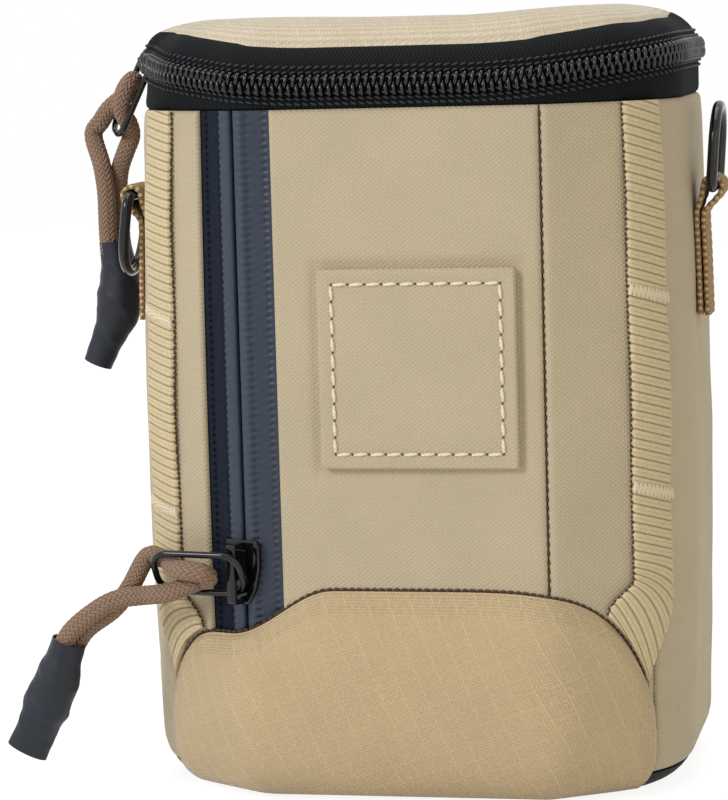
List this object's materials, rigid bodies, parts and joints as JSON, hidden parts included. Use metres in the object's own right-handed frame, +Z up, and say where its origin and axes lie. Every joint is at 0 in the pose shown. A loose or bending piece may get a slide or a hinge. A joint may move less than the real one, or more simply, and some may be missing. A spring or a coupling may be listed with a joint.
{
  "type": "binocular harness pack",
  "caption": "Upright padded binocular pouch with a zipped hinged lid, a zipped front pocket, corner webbing, cord zip pulls and side rings for a chest harness.",
  "frame": {"origin": "centre of the base, on the surface that the pack stands on", "axes": "+Z up, -Y out of the pocket face, +Y out of the back that lies on the chest, +X to the right as seen from the front"},
  "size_m": [0.1692, 0.0921, 0.1848],
  "materials": {
    "tan_fabric": "coated woven, embossed",
    "ripstop": "ripstop weave",
    "webbing": "ribbed webbing",
    "navy_tape": "coated zip tape, semi-matt",
    "black_tape": "woven zip tape",
    "black_coil": "nylon coil",
    "black_fabric": "plain weave",
    "foam": "foam padding",
    "lining": "soft lining",
    "black_metal": "gloss black",
    "brown_cord": "braided cord",
    "sleeve": "shrunk sleeve, semi-matt"
  },
  "bodies": {
    "pouch": {"pocket_left_strip": "tan_fabric", "pocket_panel": "tan_fabric", "pocket_right_gusset": "tan_fabric", "left_side_panel": "tan_fabric", "right_side_panel": "tan_fabric", "back_panel": "black_fabric", "base_panel": "black_fabric", "toe_cap": "ripstop", "left_foam": "foam", "right_foam": "foam", "back_foam": "foam", "base_foam": "foam", "pocket_divider": "foam", "lining": "lining", "pocket_zip_tape_left": "navy_tape", "pocket_zip_tape_right": "navy_tape", "pocket_zip_coil_left": "black_coil", "pocket_zip_coil_right": "black_coil", "patch": "tan_fabric", "daisy_chain_left": "webbing", "daisy_chain_right": "webbing", "lower_zip_tape": "black_tape", "lower_zip_coil": "black_coil", "hinge_binding": "black_tape", "ring_tab_left": "webbing", "ring_tab_right": "webbing"},
    "lid": {"lid_panel": "ripstop", "lid_foam": "foam", "lid_lining": "lining", "upper_zip_tape": "black_tape", "upper_zip_coil": "black_coil"},
    "main_slider": {"main_slider_body": "black_metal", "main_slider_cap": "black_metal"},
    "main_ring": {"main_pull_ring": "black_metal", "main_pull_cord": "brown_cord", "main_pull_sleeve": "sleeve"},
    "front_slider": {"front_slider_body": "black_metal", "front_slider_cap": "black_metal"},
    "front_ring": {"front_pull_ring": "black_metal", "front_pull_cord": "brown_cord", "front_pull_sleeve": "sleeve"},
    "left_ring": {"left_d_ring": "black_metal"},
    "right_ring": {"right_d_ring": "black_metal"}
  },
  "joints": [
    {"name": "lid_hinge", "type": "hinge", "parent": "pouch", "child": "lid", "pos_m": [0, 0.0414, 0.1772], "axis": [-1, 0, 0], "range_deg": [0, 115]},
    {"name": "main_zip_slide", "type": "slide", "parent": "pouch", "child": "main_slider", "axis": [0, -1, 0], "range_m": [0, 0.018]},
    {"name": "main_ring_swing", "type": "hinge", "parent": "main_slider", "child": "main_ring", "pos_m": [-0.07275, 0.019, 0.175], "axis": [0, 1, 0], "range_deg": [0, 105]},
    {"name": "pocket_zip_slide", "type": "slide", "parent": "pouch", "child": "front_slider", "axis": [0, 0, 1], "range_m": [0, 0.086]},
    {"name": "front_ring_swing", "type": "hinge", "parent": "front_slider", "child": "front_ring", "pos_m": [-0.03918, -0.04428, 0.0555], "axis": [0, 0, 1], "range_deg": [0, 134]},
    {"name": "left_ring_swing", "type": "hinge", "parent": "pouch", "child": "left_ring", "pos_m": [-0.07132, 0.001, 0.1425], "axis": [0, 1, 0], "range_deg": [0, 160]},
    {"name": "right_ring_swing", "type": "hinge", "parent": "pouch", "child": "right_ring", "pos_m": [0.07132, 0.001, 0.1425], "axis": [0, 1, 0], "range_deg": [0, 168]}
  ]
}
